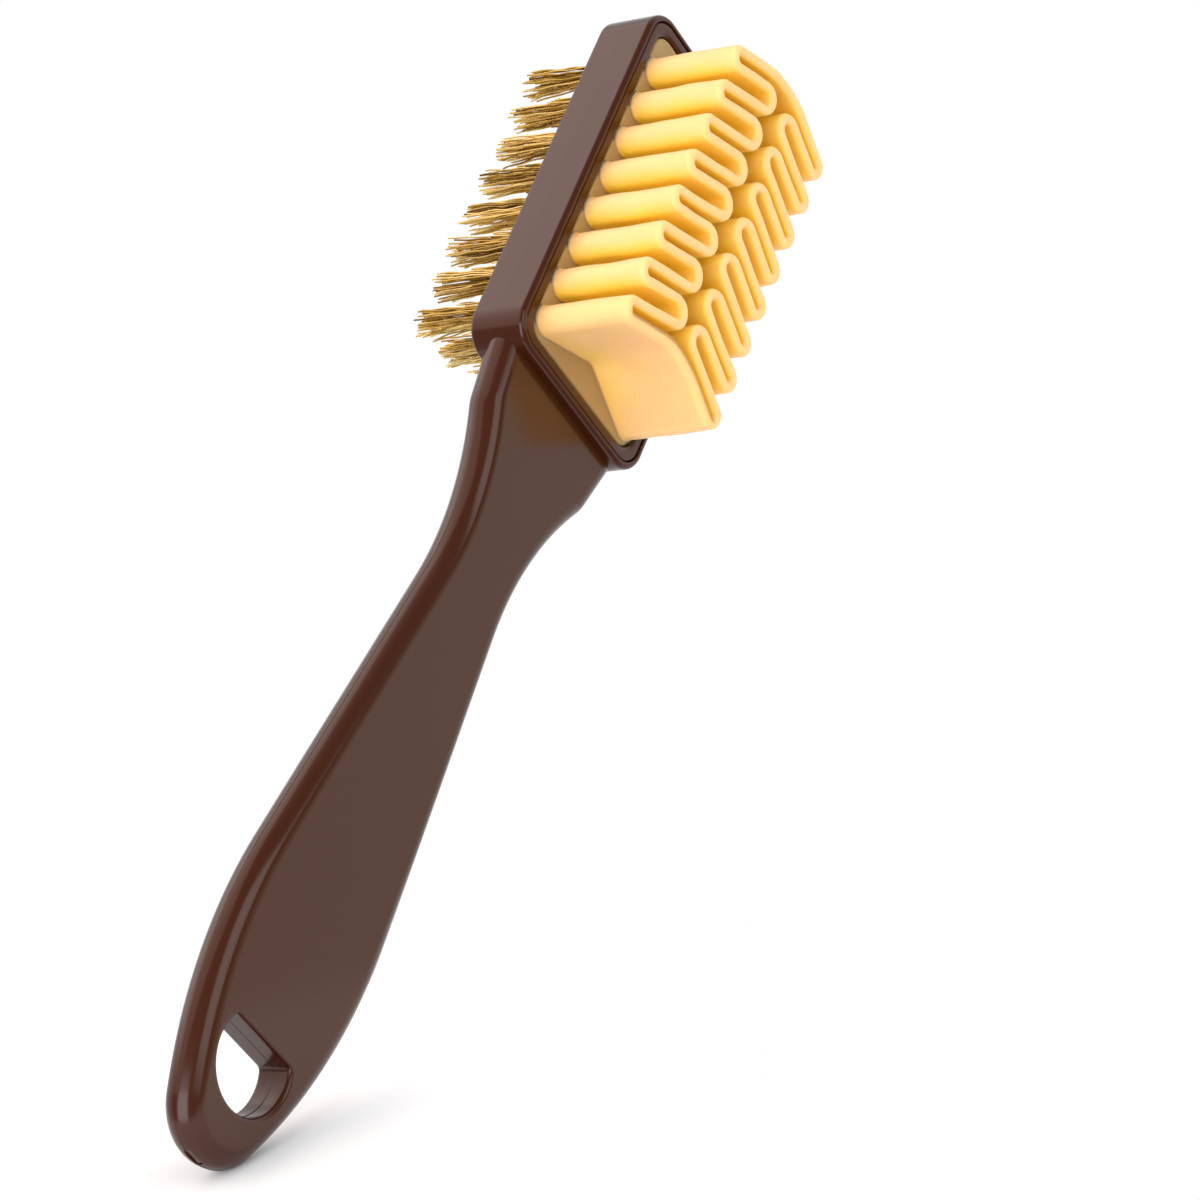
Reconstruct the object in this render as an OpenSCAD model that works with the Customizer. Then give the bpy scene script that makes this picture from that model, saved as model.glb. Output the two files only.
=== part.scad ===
// Suede brush: a moulded handle and head with tufts of brass wire on one side
// and a block of crepe rubber, held by a frame, on the other.
//
// The part is drawn with the mould's parting plane at z = 0, the head's handle
// end at y = 0 and the handle running towards -y. It is then set down with its
// origin under the middle of its box, on the plane that the wire tips touch.

/* [Head] */
// Width of the head
head_w = 36; // [34:0.5:40]
// Length of the head
head_l = 70.1; // [68:0.1:84]
// Height of the rim above the parting plane
rim_h = 5.2; // [4.8:0.1:7]
// Depth of the board below the parting plane
board_d = 5; // [4.5:0.1:7]
// Radius of the head's upright corners
head_corner_r = 5.1; // [4.5:0.1:6.5]
// Radius rolled onto the head's long edges
head_edge_r = 0.8; // [0.4:0.1:1]
// Thickness of the tray's wall
tray_wall = 1.1; // [0.9:0.05:1.6]

/* [Handle] */
// Length of the handle, from the head to its tip
handle_l = 136.8; // [120:0.5:160]
// Thickness of the handle
handle_t = 6.5; // [5.5:0.1:7.5]
// How far the rounded edge of the handle's section reaches in
handle_edge = 2.1; // [1.5:0.1:3]
// Step from the head's side in to the side of the handle's root
root_step = 2.25; // [2:0.05:3]
// Width at the corner of the shoulder
shoulder_w = 28.2; // [26:0.2:30]
// Distance of the shoulder's corner from the head
shoulder_at = 9.1; // [7.5:0.1:11]
// Radius of the shoulder
shoulder_r = 8; // [5:0.5:10]
// Width at the corner of the neck
neck_w = 13.8; // [12:0.2:18]
// Distance of the neck's corner from the head
neck_at = 23.8; // [22:0.1:28]
// Radius of the neck's inward sweep
neck_r = 51; // [40:1:56]
// Width at the corner of the belly
belly_w = 34.8; // [32:0.2:38]
// Distance of the belly's corner from the tip
belly_from_tip = 25; // [22:0.5:30]
// Radius of the belly
belly_r = 76; // [50:1:84]
// Radius of the tip
tip_r = 9.5; // [8:0.1:11]
// Angle at which the handle leaves the head, towards the wire side
handle_tilt = 2.1; // [0:0.1:3]
// Drop of the handle's tip towards the wire side
tip_drop = 5.6; // [5:0.1:8]

/* [Hanging hole] */
// Radius of the hole
hang_r = 7.4; // [6:0.1:8]
// Distance of the hole's centre from the handle's tip
hang_from_tip = 15.9; // [14:0.1:20]
// Distance of the hole's straight side from its centre, towards the head
hang_flat = 4.1; // [3:0.1:5.5]

/* [Retaining frame] */
// Width of the frame's lip
frame_w = 1.95; // [1.6:0.05:2.4]
// Depth of the frame's top below the rim
frame_below = 0.15; // [0:0.05:0.4]
// Thickness of the lip that holds the rubber down
lip_t = 1.4; // [1:0.1:1.6]
// Thickness of the frame's leg beside the flange
leg_t = 0.9; // [0.7:0.05:1.2]
// Radius of the opening's corners
opening_corner_r = 2.9; // [1.5:0.1:4]
// Clearance between the frame and the tray's wall
frame_gap = 0.15; // [0.1:0.05:0.3]

/* [Rubber block] */
// Height of the rubber's crest above the parting plane
crest_h = 21.7; // [16:0.1:28]
// Depth of the rubber's base below the frame's top
base_below = 0.35; // [0.2:0.05:0.8]
// Thickness of the rubber's flange under the frame's lip
flange_t = 2; // [1.6:0.1:2.4]
// Thickness of the winding wall
wall_t = 1.75; // [1.5:0.05:2]
// Width of the slots that open to the middle valley
slot_w = 1.15; // [0.9:0.05:1.4]
// Width of the grooves that open to the sides
groove_w = 2.35; // [2:0.05:2.6]
// Angle of the chevron's arms to the head's width
chevron_angle = 21.8; // [15:0.1:25]
// Gap between the lobes' ends and the sides of the frame's opening
lobe_gap = 0.25; // [0.2:0.05:1]
// Gap between the near lobes' ends and the near end of the frame's opening
near_gap = 1.3; // [0.3:0.1:2]
// Width of the valley between the left and the right turns
valley_w = 1.65; // [1.2:0.05:2.4]
// Radius of the far wall's blunt apex
apex_r = 17; // [10:0.5:20]
// Clearance round the rubber where it sits in the frame
rubber_gap = 0.15; // [0.1:0.05:0.3]
// Clearance between the flange and the lip above it
flange_gap = 0.05; // [0:0.01:0.1]

/* [Tufts] */
// Distance of the first row from the head's handle end
tuft_first = 9.3; // [8:0.1:12]
// Least distance of the last row from the head's far end
tuft_last = 9.2; // [8:0.1:12]
// Distance between rows
tuft_pitch = 7.36; // [7:0.02:7.6]
// Distance between columns
tuft_column = 6.45; // [6.2:0.05:6.6]
// Radius of a tuft's hole
tuft_hole_r = 1.6; // [1.6:0.05:1.8]
// Depth of a tuft's hole
tuft_hole_d = 5; // [4:0.1:5.4]
// Clearance of the folded bundle in its hole
tuft_gap = 0.05; // [0.02:0.01:0.08]
// Free length of the wires below the board
wire_l = 15; // [10:0.1:20]
// Radius of a strand of wire
strand_r = 0.33; // [0.25:0.01:0.33]
// How much wider a tuft is at its tips than at its hole
tuft_spread = 2.2; // [1.6:0.1:2.2]
// How far the longest wires were trimmed flat at their tips
trim_d = 0.5; // [0.3:0.1:0.8]

/* [Anchors] */
// Thickness of an anchor's strip
anchor_t = 0.35; // [0.25:0.05:0.5]
// Height of an anchor's strip
anchor_h = 1.6; // [1.2:0.1:2]
// How far an anchor bites into each side of its hole
anchor_bite = 0.35; // [0.2:0.05:0.5]
// Clearance round an anchor
anchor_gap = 0.02; // [0.01:0.01:0.05]

/* [Hidden] */
tuft_columns = 4;
tuft_rows = 1 + floor((head_l - tuft_first - tuft_last) / tuft_pitch);
COLUMNS = [for (c = [1:tuft_columns]) [for (r = [1:tuft_rows]) str("tuft_r", r, "c", c)]];
MIDDLE = [for (r = [1:tuft_rows - 1]) str("tuft_middle", r)];

plastic = [0.35, 0.26, 0.22];
rubber = [0.98, 0.85, 0.58];
brass = [0.79, 0.63, 0.28];
steel = [0.7, 0.7, 0.7];
arc_steps = 8;
bead_steps = 4;
round_steps = 48;
overlap = 0.6;
root_depth = 3;
section_steps = 8;
strand_sides = 3;
hole_sides = 12;

// Levels and insets that the head, the frame and the rubber share
frame_top = rim_h - frame_below;
lip_bottom = frame_top - lip_t;
flange_top = lip_bottom - flange_gap;
tray_floor = flange_top - flange_t;
base_h = frame_top - base_below;
frame_inset = tray_wall + frame_gap;
opening_inset = frame_inset + frame_w;
flange_inset = frame_inset + leg_t + rubber_gap;

// Shapes shared by the pieces

function unit(v) = v / norm(v);

function turned(v, angle) =
    [v.x * cos(angle) - v.y * sin(angle), v.x * sin(angle) + v.y * cos(angle)];

function arc(centre, radius, from, to, steps) =
    [for (i = [0:steps]) centre + radius * turned([1, 0], from + (to - from) * i / steps)];

// Arc that rounds corner p of the line a-p-b. Its radius is limited by the
// length of the shorter of the two sides.
function fillet(a, p, b, full_radius, steps) =
    let (
        back = unit(a - p),
        ahead = unit(b - p),
        half = acos(back * ahead) / 2,
        room = 0.98 * min(norm(a - p), norm(b - p)),
        radius = min(full_radius, room * tan(half)),
        centre = p + unit(back + ahead) * radius / sin(half),
        start = p + back * radius / tan(half) - centre,
        turn = (180 - 2 * half) * sign(cross(-back, ahead))
    )
    [for (i = [0:steps]) centre + turned(start, turn * i / steps)];

// Rounded rectangle, half_w to each side of x = 0 and from y0 to y1
function rounded_rectangle(half_w, y0, y1, r) = concat(
    arc([half_w - r, y0 + r], r, -90, 0, arc_steps),
    arc([half_w - r, y1 - r], r, 0, 90, arc_steps),
    arc([r - half_w, y1 - r], r, 90, 180, arc_steps),
    arc([r - half_w, y0 + r], r, 180, 270, arc_steps)
);

// Solid through a stack of rings. Each ring has the same number of points, and
// its point i lies straight across from its point count - 1 - i.
module loft(rings) {
    levels = len(rings);
    count = len(rings[0]);
    top = (levels - 1) * count;
    walls = [
        for (k = [0:levels - 2], i = [0:count - 1])
            let (
                a = k * count + i,
                b = k * count + (i + 1) % count
            )
            each [[a, b + count, b], [a, a + count, b + count]]
    ];
    caps = [
        for (i = [0:floor(count / 2) - 1])
            let (j = count - 1 - i)
            if (i + 1 < j)
                each (j - 1 == i + 1 ? [[i, i + 1, j], [top + i, top + j, top + i + 1]]
                    : [
                        [i, i + 1, j], [i + 1, j - 1, j],
                        [top + i, top + j, top + i + 1], [top + i + 1, top + j, top + j - 1]
                    ])
    ];
    polyhedron(points = [for (ring = rings) each ring], faces = concat(walls, caps));
}

// Head

module head_block() {
    bead = [for (i = [0:bead_steps]) 90 * i / bead_steps];
    levels = concat(
        [for (a = bead) [head_edge_r * (1 - sin(a)), -board_d + head_edge_r * (1 - cos(a))]],
        [for (a = bead) [head_edge_r * (1 - cos(a)), rim_h - head_edge_r * (1 - sin(a))]]
    );
    loft([
        for (level = levels)
            let (inset = level[0])
            [
                for (p = rounded_rectangle(head_w / 2 - inset, inset, head_l - inset,
                        head_corner_r - inset))
                    [p.x, p.y, level[1]]
            ]
    ]);
}

module head_plan(inset, r) {
    polygon(rounded_rectangle(head_w / 2 - inset, inset, head_l - inset, r));
}

module tray_recess() {
    translate([0, 0, tray_floor])
        linear_extrude(rim_h - tray_floor + overlap) head_plan(tray_wall, head_corner_r - tray_wall);
}

// Handle

// The outline's right half, from inside the head to the tip. It is straight
// between its corners, which are rounded, and ends in the tip's arc.
shoulder = [shoulder_w / 2, -shoulder_at];
neck = [neck_w / 2, -neck_at];
belly = [belly_w / 2, belly_from_tip - handle_l];
tip_centre = [0, tip_r - handle_l];
tip_angle = let (v = belly - tip_centre) atan2(v.y, v.x) - acos(tip_r / norm(v));
tip_touch = tip_centre + tip_r * turned([1, 0], tip_angle);
root = [head_w / 2 - root_step, 0];
root_slope = (root.x - shoulder.x) / shoulder_at;
shoulder_arc = fillet(root, shoulder, neck, shoulder_r, arc_steps);
neck_arc = fillet(shoulder_arc[arc_steps], neck, belly, neck_r, arc_steps);
belly_arc = fillet(neck_arc[arc_steps], belly, tip_touch, belly_r, arc_steps);
half_outline = concat(
    [root + root_depth * [root_slope, 1], root],
    shoulder_arc,
    neck_arc,
    belly_arc,
    arc(tip_centre, tip_r, tip_angle, -90, 2 * arc_steps)
);

// Height of the handle's middle at distance s from the head
function handle_mid(s) =
    let (bow = (tip_drop - tan(handle_tilt) * handle_l) / pow(handle_l, 2))
    -tan(handle_tilt) * s - bow * s * abs(s);

// Outward direction of the outline at its point i
function outline_normal(i) =
    let (
        last = len(half_outline) - 1,
        before = half_outline[max(i - 1, 0)],
        after = i == last ? [-before.x, before.y] : half_outline[i + 1],
        along = unit(after - before)
    )
    [-along.y, along.x];

function handle_ring(angle) =
    let (
        inset = handle_edge * (1 - cos(angle)),
        rise = handle_t / 2 * sin(angle),
        last = len(half_outline) - 1,
        right = [
            for (i = [0:last])
                let (p = half_outline[i] - inset * outline_normal(i))
                [i == last ? 0 : p.x, p.y, handle_mid(-p.y) + rise]
        ]
    )
    concat(
        [for (i = [last:-1:0]) [-right[last - i].x, right[last - i].y, right[last - i].z]],
        [for (i = [last - 1:-1:0]) right[i]]
    );

module handle() {
    loft([for (k = [0:section_steps]) handle_ring(-90 + 180 * k / section_steps)]);
}

// D-shaped hole, square to the handle where it goes through
hang_y = hang_from_tip - handle_l;
hang_tilt = atan((handle_mid(-hang_y + 1) - handle_mid(-hang_y - 1)) / 2);

module hanging_hole() {
    reach = handle_t;
    translate([0, hang_y, handle_mid(-hang_y)])
        rotate([-hang_tilt, 0, 0])
            intersection() {
                translate([0, 0, -reach]) cylinder(h = 2 * reach, r = hang_r, $fn = round_steps);
                translate([-hang_r - 1, -hang_r - 1, -reach - 1])
                    cube([2 * hang_r + 2, hang_r + 1 + hang_flat, 2 * reach + 2]);
            }
}

// Tufts and their anchors

column_x = [for (step = [-2, -1, 1, 2]) step * tuft_column];
function row_y(r) = tuft_first + r * tuft_pitch;
side_places = [for (x = column_x) for (r = [0:tuft_rows - 1]) [x, row_y(r)]];
middle_places = [for (r = [0:tuft_rows - 2]) [0, row_y(r + 0.5)]];
tuft_places = concat(side_places, middle_places);
hole_bottom = tuft_hole_d - board_d;

module anchor_strip(gap) {
    length = 2 * (tuft_hole_r + anchor_bite + gap);
    translate([-length / 2, -anchor_t / 2 - gap, hole_bottom - anchor_h - gap])
        cube([length, anchor_t + 2 * gap, anchor_h + gap]);
}

module tuft_holes() {
    for (place = tuft_places)
        translate([place.x, place.y, 0]) {
            translate([0, 0, -board_d - overlap])
                cylinder(h = tuft_hole_d + overlap, r = tuft_hole_r, $fn = hole_sides);
            anchor_strip(anchor_gap);
        }
}

module tuft_anchors() {
    color(steel)
        for (place = tuft_places)
            translate([place.x, place.y, 0]) anchor_strip(0);
}

// Where the strands leave the bundle: one in the middle, three round it and six
// outside, each ring with its radius, its count and its starting angle
inner_ring_r = 2.06 * strand_r;
outer_ring_r = tuft_hole_r - tuft_gap - strand_r - 0.02;
strand_rings = [[0, 1, 0], [inner_ring_r, 3, 0], [outer_ring_r, 6, 30]];
wire_unevenness = 1.4;
turn_step = 37;

module strand(r, angle, length) {
    splay = atan(r * (tuft_spread - 1) / wire_l);
    rotate([0, 0, angle])
        translate([r, 0, overlap])
            rotate([0, 180 - splay, 0])
                cylinder(h = (length + overlap) / cos(splay), r = strand_r, $fn = strand_sides);
}

module tuft(number) {
    place = tuft_places[number];
    tip_w = 4 * tuft_hole_r * tuft_spread;
    color(brass)
        translate([place.x, place.y, 0])
            intersection() {
                union() {
                    difference() {
                        translate([0, 0, -board_d])
                            cylinder(h = tuft_hole_d, r = tuft_hole_r - tuft_gap, $fn = hole_sides);
                        anchor_strip(anchor_gap);
                    }
                    translate([0, 0, -board_d])
                        for (ring = strand_rings, i = [0:ring[1] - 1])
                            let (
                                draw = (0.618 * (number + 10 * i + 3 * ring[1])) % 1,
                                length = wire_l + trim_d - wire_unevenness * pow(draw, 2)
                            )
                            strand(ring[0], ring[2] + 360 * i / ring[1] + turn_step * number, length);
                }
                translate([-tip_w / 2, -tip_w / 2, -board_d - wire_l])
                    cube([tip_w, tip_w, tuft_hole_d + wire_l]);
            }
}

// Frame and rubber

module retaining_frame() {
    color(plastic)
        difference() {
            translate([0, 0, tray_floor])
                linear_extrude(frame_top - tray_floor)
                    head_plan(frame_inset, head_corner_r - frame_inset);
            translate([0, 0, tray_floor - overlap])
                linear_extrude(frame_top - tray_floor + 2 * overlap)
                    head_plan(opening_inset, opening_corner_r);
            translate([0, 0, tray_floor - overlap])
                linear_extrude(lip_bottom - tray_floor + overlap)
                    head_plan(frame_inset + leg_t, head_corner_r - frame_inset - leg_t);
        }
}

// The winding wall. One contour runs down the right side from the far apex to
// the near one, offset by half of the wall to the side that is given: 1 for
// the face towards the grooves, -1 for the face towards the slots.
lobe_r = (slot_w + wall_t) / 2;
turn_r = (groove_w + wall_t) / 2;
lobe_pitch = 2 * (lobe_r + turn_r) / cos(chevron_angle);
lobe_reach = head_w / 2 - opening_inset - lobe_gap - lobe_r - wall_t / 2;
turn_reach = valley_w / 2 + turn_r + wall_t / 2;
first_slot = opening_inset + near_gap + lobe_r + wall_t / 2 + lobe_reach * tan(chevron_angle);
// The blunt far apex stands this far beyond the last slot
apex_rise = apex_r - (apex_r - lobe_r - wall_t / 2) / cos(chevron_angle);
far_end = head_l - opening_inset - rubber_gap - apex_rise;
lobes = 1 + floor((far_end - first_slot) / lobe_pitch);

function slot_y(k) = first_slot + lobe_pitch * k;
function arm(x, y) = [x, y - x * tan(chevron_angle)];

function half_contour(side) =
    let (
        shift = side * wall_t / 2,
        blunt_r = apex_r - wall_t / 2 + shift,
        apex_y = slot_y(lobes - 1) + (lobe_r + shift - blunt_r) / cos(chevron_angle)
    )
    concat(
        arc([0, apex_y], blunt_r, 90, 90 - chevron_angle, arc_steps),
        [
            for (k = [lobes - 1:-1:0])
                each concat(
                    arc(arm(lobe_reach, slot_y(k)), lobe_r + shift,
                        90 - chevron_angle, -90 - chevron_angle, arc_steps),
                    k == 0 ? []
                        : arc(arm(turn_reach, slot_y(k) - lobe_pitch / 2), turn_r - shift,
                            90 - chevron_angle, 270 - chevron_angle, arc_steps)
                )
        ],
        [[0, slot_y(0) - (lobe_r + shift) / cos(chevron_angle)]]
    );

function contour(side) =
    let (
        right = half_contour(side),
        last = len(right) - 1
    )
    concat(right, [for (i = [last - 1:-1:1]) [-right[i].x, right[i].y]]);

module rubber_block() {
    color(rubber) {
        translate([0, 0, tray_floor])
            linear_extrude(flange_top - tray_floor)
                head_plan(flange_inset, head_corner_r - flange_inset);
        translate([0, 0, tray_floor])
            linear_extrude(base_h - tray_floor)
                head_plan(opening_inset + rubber_gap, opening_corner_r - rubber_gap);
        translate([0, 0, tray_floor])
            linear_extrude(crest_h - tray_floor)
                difference() {
                    polygon(contour(1));
                    polygon(contour(-1));
                }
    }
}

module handle_body() {
    color(plastic)
        difference() {
            union() {
                head_block();
                handle();
            }
            tray_recess();
            hanging_hole();
            tuft_holes();
        }
}

// The origin is under the middle of the box, on the plane of the wire tips
module placed() {
    translate([0, (handle_l - head_l) / 2, board_d + wire_l]) children();
}

placed() handle_body();
placed() retaining_frame();
placed() rubber_block();
placed() tuft_anchors();
for (c = [0:tuft_columns - 1], r = [0:tuft_rows - 1])
    placed() tuft(c * tuft_rows + r);
for (r = [0:tuft_rows - 2])
    placed() tuft(tuft_columns * tuft_rows + r);
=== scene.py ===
import math

import bmesh
import bpy
from mathutils import Matrix, Vector, noise
from mathutils.bvhtree import BVHTree


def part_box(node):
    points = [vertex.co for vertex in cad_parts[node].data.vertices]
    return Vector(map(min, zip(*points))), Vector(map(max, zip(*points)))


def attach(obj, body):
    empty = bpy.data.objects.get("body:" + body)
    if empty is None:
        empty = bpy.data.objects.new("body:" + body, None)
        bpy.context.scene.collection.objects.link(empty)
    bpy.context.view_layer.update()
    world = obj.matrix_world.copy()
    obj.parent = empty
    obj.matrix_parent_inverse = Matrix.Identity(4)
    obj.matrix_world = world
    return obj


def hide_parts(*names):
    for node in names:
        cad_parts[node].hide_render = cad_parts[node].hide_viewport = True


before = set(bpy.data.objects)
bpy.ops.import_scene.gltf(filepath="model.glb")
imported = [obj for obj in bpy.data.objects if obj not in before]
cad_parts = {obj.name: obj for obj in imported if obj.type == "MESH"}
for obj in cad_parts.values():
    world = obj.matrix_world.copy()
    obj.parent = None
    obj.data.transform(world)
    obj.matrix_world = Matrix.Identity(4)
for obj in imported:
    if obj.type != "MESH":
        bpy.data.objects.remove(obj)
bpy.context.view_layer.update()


# Camera
# The photograph looks down on the rubber side from off the handle's end, with a
# long lens, and is rolled so that the brush leans up on its handle's tip.
MM = 0.001
HEAD_LENGTH = 70.1
FRAME_TOP = 5.05
head_root_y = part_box("handle_body")[1].y - HEAD_LENGTH * MM
parting_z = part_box("retaining_frame")[1].z - FRAME_TOP * MM
HANDLE_LENGTH = (head_root_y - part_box("handle_body")[0].y) / MM


def placed(x, y, z):
    """A point of the frame, given in millimetres from the head's handle end, on the parting plane."""
    return Vector((x * MM, head_root_y + y * MM, parting_z + z * MM))


LENS, SENSOR_WIDTH = 140.42, 36.0
sight = Vector((0.601104, 0.545289, -0.584238)).normalized()
photo_right = Vector((0.494997, 0.319902, 0.807862)).normalized()
photo_up = photo_right.cross(sight).normalized()
eye = placed(-409.626, -411.716, 424.106)

camera_data = bpy.data.cameras.new("photo_camera")
camera_data.lens = LENS
camera_data.sensor_width = SENSOR_WIDTH
camera = bpy.data.objects.new("photo_camera", camera_data)
turn = Matrix((photo_right, photo_up, -sight)).transposed().to_4x4()
camera.matrix_world = Matrix.Translation(eye) @ turn
bpy.context.scene.collection.objects.link(camera)
bpy.context.scene.camera = camera


# Light and backdrop
# A white studio with three soft lamps: at the left, at the front right and low in
# front. Glossy faces also mirror the white backdrop behind the brush and, on the
# camera's side, a dimmer room.
BACKDROP_LEVEL, ROOM_LEVEL, AMBIENT = 1.0, 0.2, 0.95
ROOM_BLEND = 0.35
lit_middle = placed(0, -30, 5)


def aim_from(right, up, back):
    """Direction given by its parts along the photograph's right, up and towards the camera."""
    return (photo_right * right + photo_up * up - sight * back).normalized()


def soft_light(name, direction, distance, size, power, colour):
    """A rectangular lamp that faces the brush. Its distance and its size are in metres."""
    data = bpy.data.lights.new(name, "AREA")
    data.shape = "RECTANGLE"
    data.size, data.size_y = size
    data.energy = power
    data.color = colour
    lamp = bpy.data.objects.new(name, data)
    width_way = (photo_right - direction * photo_right.dot(direction)).normalized()
    axes = Matrix((width_way, direction.cross(width_way), direction)).transposed().to_4x4()
    lamp.matrix_world = Matrix.Translation(lit_middle + direction * distance) @ axes
    bpy.context.scene.collection.objects.link(lamp)


soft_light(
    "left_light", aim_from(right=-0.76, up=0.63, back=0.02),
    distance=0.75, size=(0.85, 1.1), power=3.25, colour=(1, 0.76, 0.67),
)
soft_light(
    "right_light", aim_from(right=0.56, up=0.42, back=0.7),
    distance=0.75, size=(0.5, 0.46), power=1.5, colour=(1, 0.92, 0.88),
)
soft_light(
    "low_front_light", aim_from(right=-0.45, up=-0.1, back=0.9),
    distance=0.95, size=(0.8, 0.8), power=6.8, colour=(1, 1, 1),
)


class Nodes:
    """Short ways to add nodes to one node tree."""

    def __init__(self, tree):
        self.tree = tree

    def feed(self, target, value):
        """Links an input to another node's output, or sets it to a value."""
        if isinstance(value, bpy.types.NodeSocket):
            self.tree.links.new(value, target)
        else:
            target.default_value = value

    def add(self, kind, inputs=None, **settings):
        """Adds a node with its settings, and feeds its inputs by their names or numbers."""
        node = self.tree.nodes.new(kind)
        for name, value in settings.items():
            setattr(node, name, value)
        for key, value in (inputs or {}).items():
            self.feed(node.inputs[key], value)
        return node

    def math(self, operation, *values):
        """A sum on values or on other nodes' outputs."""
        return self.add("ShaderNodeMath", dict(enumerate(values)), operation=operation).outputs[0]

    def span(self, value, start, end, low, high, blend="LINEAR"):
        """Goes from low to high as the value goes from start to end, and no further."""
        limits = {"From Min": start, "From Max": end, "To Min": low, "To Max": high}
        node = self.add("ShaderNodeMapRange", {"Value": value, **limits}, interpolation_type=blend)
        return node.outputs["Result"]


world = bpy.data.worlds.new("studio")
bpy.context.scene.world = world
world.use_nodes = True
world.node_tree.nodes.clear()
sky = Nodes(world.node_tree)
outlook = sky.add("ShaderNodeTexCoord").outputs["Generated"]
frontness = sky.add("ShaderNodeVectorMath", {0: outlook, 1: -sight}, operation="DOT_PRODUCT")
mirrored_level = sky.span(
    frontness.outputs["Value"], start=-ROOM_BLEND, end=ROOM_BLEND,
    low=BACKDROP_LEVEL, high=ROOM_LEVEL, blend="SMOOTHSTEP",
)
rays = sky.add("ShaderNodeLightPath").outputs
unseen = sky.add("ShaderNodeMix", {"Factor": rays["Is Glossy Ray"], "A": AMBIENT, "B": mirrored_level})
seen = sky.math("MAXIMUM", rays["Is Camera Ray"], rays["Is Transmission Ray"])
strength = sky.math("MAXIMUM", seen, unseen.outputs["Result"])
sky_light = sky.add("ShaderNodeBackground", {"Color": (1, 1, 1, 1), "Strength": strength})
sky.add("ShaderNodeOutputWorld", {"Surface": sky_light.outputs[0]})


# Handle and head
# One brown plastic moulding: the paddle handle, with rounded edges, its D-shaped
# hanging hole and the mould's parting line, and the head with its tray and holes.
HEAD_WIDTH = 36.0
RIM_HEIGHT = 5.2
RIM_INNER_EDGE = 0.2
BOARD_DEPTH = 5.0
CORNER_RADIUS = 5.1
EDGE_RADIUS = 0.8
TRAY_WALL = 1.1
TRAY_FLOOR = 1.6
HANDLE_THICKNESS = 6.5
HANDLE_EDGE = 2.1
CUTTER_OVERRUN = 1.0


def turned(x, y, angle):
    """The vector (x, y), turned by an angle."""
    c, s = math.cos(angle), math.sin(angle)
    return Vector((x * c - y * s, x * s + y * c))


def on_circle(centre, radius, angle):
    """The point of a circle at an angle in degrees."""
    return Vector(centre) + turned(radius, 0, math.radians(angle))


def arc(centre, radius, start, end, steps):
    """Points on an arc. Angles are in degrees."""
    return [on_circle(centre, radius, start + (end - start) * i / steps) for i in range(steps + 1)]


FILLET_SHARE = 0.98


def fillet(a, p, b, radius, steps):
    """Points of the arc that rounds corner p of the line a-p-b, and stays within both lines."""
    back, ahead = (a - p).normalized(), (b - p).normalized()
    half = back.angle(ahead) / 2
    radius = min(radius, FILLET_SHARE * min((a - p).length, (b - p).length) * math.tan(half))
    centre = p + (back + ahead).normalized() * radius / math.sin(half)
    start = p + back * radius / math.tan(half) - centre
    sweep = math.copysign(math.pi - 2 * half, (-back).cross(ahead))
    return [centre + turned(start.x, start.y, sweep * i / steps) for i in range(steps + 1)]


def new_object(name, verts, faces):
    """A mesh object of points in millimetres."""
    mesh = bpy.data.meshes.new(name)
    mesh.from_pydata([placed(*v) for v in verts], [], faces)
    mesh.validate()
    thing = bpy.data.objects.new(name, mesh)
    bpy.context.scene.collection.objects.link(thing)
    return thing


def loft(name, rings):
    """A solid through rings of points, each point i straight across from its ring's point -1 - i."""
    count = len(rings[0])
    verts = [v for ring in rings for v in ring]
    faces = []
    for k in range(len(rings) - 1):
        for i in range(count):
            a, b = k * count + i, k * count + (i + 1) % count
            faces.append((a, b, b + count, a + count))
    top = (len(rings) - 1) * count
    for i in range(count // 2):
        j = count - 1 - i
        near = [i, i + 1, j - 1, j] if j - 1 > i + 1 else [i, i + 1, j]
        if j > i + 1:
            faces.append(tuple(reversed(near)))
            faces.append(tuple(top + v for v in near))
    return new_object(name, verts, faces)


# The handle's outline is straight between its corners, which are rounded
ROOT_STEP, INTO_HEAD = 2.25, 3
BELLY_FROM_TIP = 25
TIP_RADIUS = 9.5
SHOULDER_ROUND, NECK_ROUND, BELLY_ROUND = 8, 51, 76
root = Vector((HEAD_WIDTH / 2 - ROOT_STEP, 0))
shoulder = Vector((14.1, -9.1))
neck = Vector((6.9, -23.8))
belly = Vector((17.4, BELLY_FROM_TIP - HANDLE_LENGTH))
tip_centre = Vector((0, TIP_RADIUS - HANDLE_LENGTH))
to_belly = belly - tip_centre
tip_angle = math.degrees(
    math.atan2(to_belly.y, to_belly.x) - math.acos(TIP_RADIUS / to_belly.length)
)
tip_touch = on_circle(tip_centre, TIP_RADIUS, tip_angle)
root_slope = (root.x - shoulder.x) / -shoulder.y
shoulder_arc = fillet(root, shoulder, neck, SHOULDER_ROUND, steps=12)
neck_arc = fillet(shoulder_arc[-1], neck, belly, NECK_ROUND, steps=24)
belly_arc = fillet(neck_arc[-1], belly, tip_touch, BELLY_ROUND, steps=24)


def spaced(points, step):
    """The same line with points added so that none is further than step from the next."""
    out = [points[0]]
    for a, b in zip(points, points[1:]):
        parts = max(1, math.ceil((b - a).length / step))
        out += [a.lerp(b, i / parts) for i in range(1, parts + 1)]
    return out


half_outline = spaced(
    [root + Vector((root_slope, 1)) * INTO_HEAD, root]
    + shoulder_arc
    + neck_arc
    + belly_arc
    + arc(tip_centre, TIP_RADIUS, tip_angle, -90, steps=32)[1:],
    step=2.5,
)


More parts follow.
